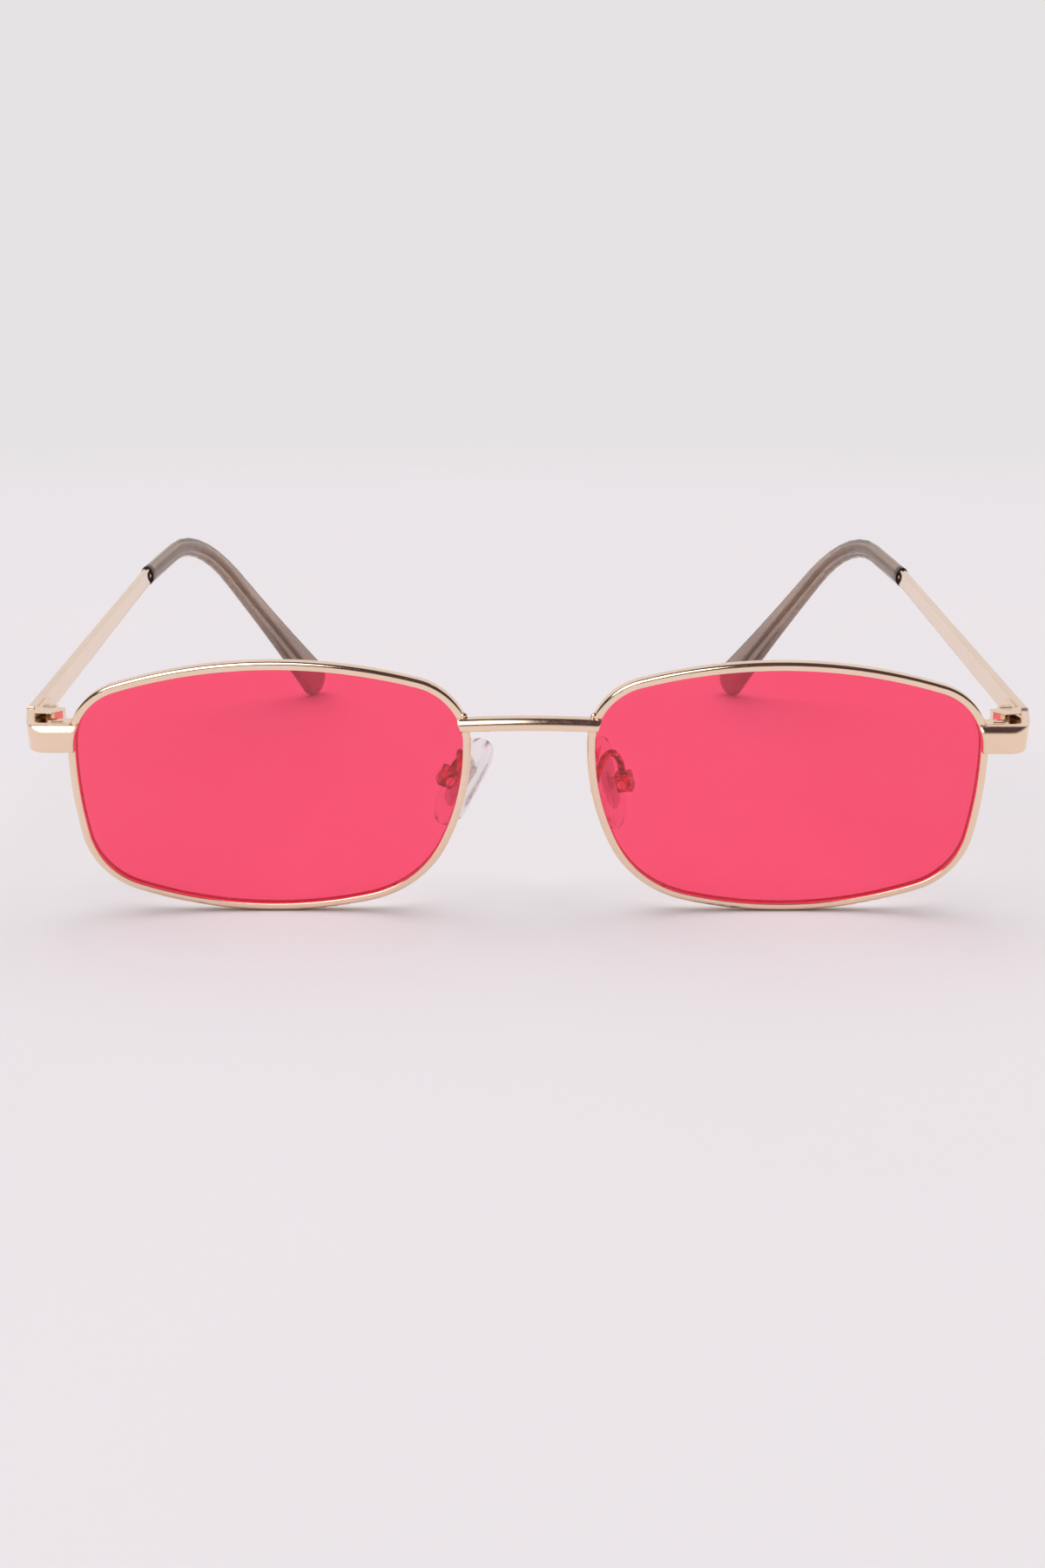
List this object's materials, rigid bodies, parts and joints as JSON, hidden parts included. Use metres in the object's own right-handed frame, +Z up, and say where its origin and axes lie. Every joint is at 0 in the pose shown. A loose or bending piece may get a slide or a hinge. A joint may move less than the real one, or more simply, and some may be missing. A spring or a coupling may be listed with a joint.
{
  "type": "sunglasses",
  "caption": "Narrow rectangle metal sunglasses with tinted lenses, rocking nose pads and slim temples that fold flat behind the front.",
  "frame": {"origin": "on the table the glasses stand on, in the middle of the floor area that they cover", "axes": "+X to the wearer's left, +Y from the front towards the temple tips, +Z up"},
  "size_m": [0.1324, 0.1406, 0.0389],
  "materials": {
    "gold_metal": "polished, pale champagne gold plating",
    "screw_metal": "polished",
    "pad_metal": "satin",
    "tinted_lens": "clear, pink-red tint",
    "smoke_tip": "translucent smoke",
    "clear_pad": "clear, soft"
  },
  "bodies": {
    "front": {"rim_right": "gold_metal", "rim_left": "gold_metal", "lens_right": "tinted_lens", "lens_left": "tinted_lens", "bridge": "gold_metal", "end_piece_right": "gold_metal", "end_piece_left": "gold_metal", "rim_lock_upper_right": "gold_metal", "rim_lock_upper_left": "gold_metal", "rim_lock_lower_right": "gold_metal", "rim_lock_lower_left": "gold_metal", "rim_lock_screws": "screw_metal", "hinge_front_right": "gold_metal", "hinge_front_left": "gold_metal", "hinge_screws": "screw_metal", "pad_arm_right": "gold_metal", "pad_arm_left": "gold_metal", "pad_box_right": "pad_metal", "pad_box_left": "pad_metal", "pad_screws": "screw_metal"},
    "temple_right_body": {"temple_right": "gold_metal", "hinge_temple_right": "gold_metal", "temple_tip_right": "smoke_tip"},
    "temple_left_body": {"temple_left": "gold_metal", "hinge_temple_left": "gold_metal", "temple_tip_left": "smoke_tip"},
    "pad_right_body": {"pad_insert_right": "pad_metal", "nose_pad_right": "clear_pad"},
    "pad_left_body": {"pad_insert_left": "pad_metal", "nose_pad_left": "clear_pad"}
  },
  "joints": [
    {"name": "fold_right", "type": "hinge", "parent": "front", "child": "temple_right_body", "pos_m": [-0.0628, -0.06326, 0.02588], "axis": [-0.0698, 0.1302, -0.989], "range_deg": [0, 83.5]},
    {"name": "fold_left", "type": "hinge", "parent": "front", "child": "temple_left_body", "pos_m": [0.0628, -0.06326, 0.02588], "axis": [-0.0698, -0.1302, 0.989], "range_deg": [0, 74]},
    {"name": "rock_right", "type": "hinge", "parent": "front", "child": "pad_right_body", "pos_m": [-0.01076, -0.06072, 0.01753], "axis": [0.2676, -0.9228, -0.2773], "range_deg": [-12, 12]},
    {"name": "rock_left", "type": "hinge", "parent": "front", "child": "pad_left_body", "pos_m": [0.01291, -0.06064, 0.01692], "axis": [-0.2998, -0.9332, -0.1983], "range_deg": [-12, 12]}
  ]
}
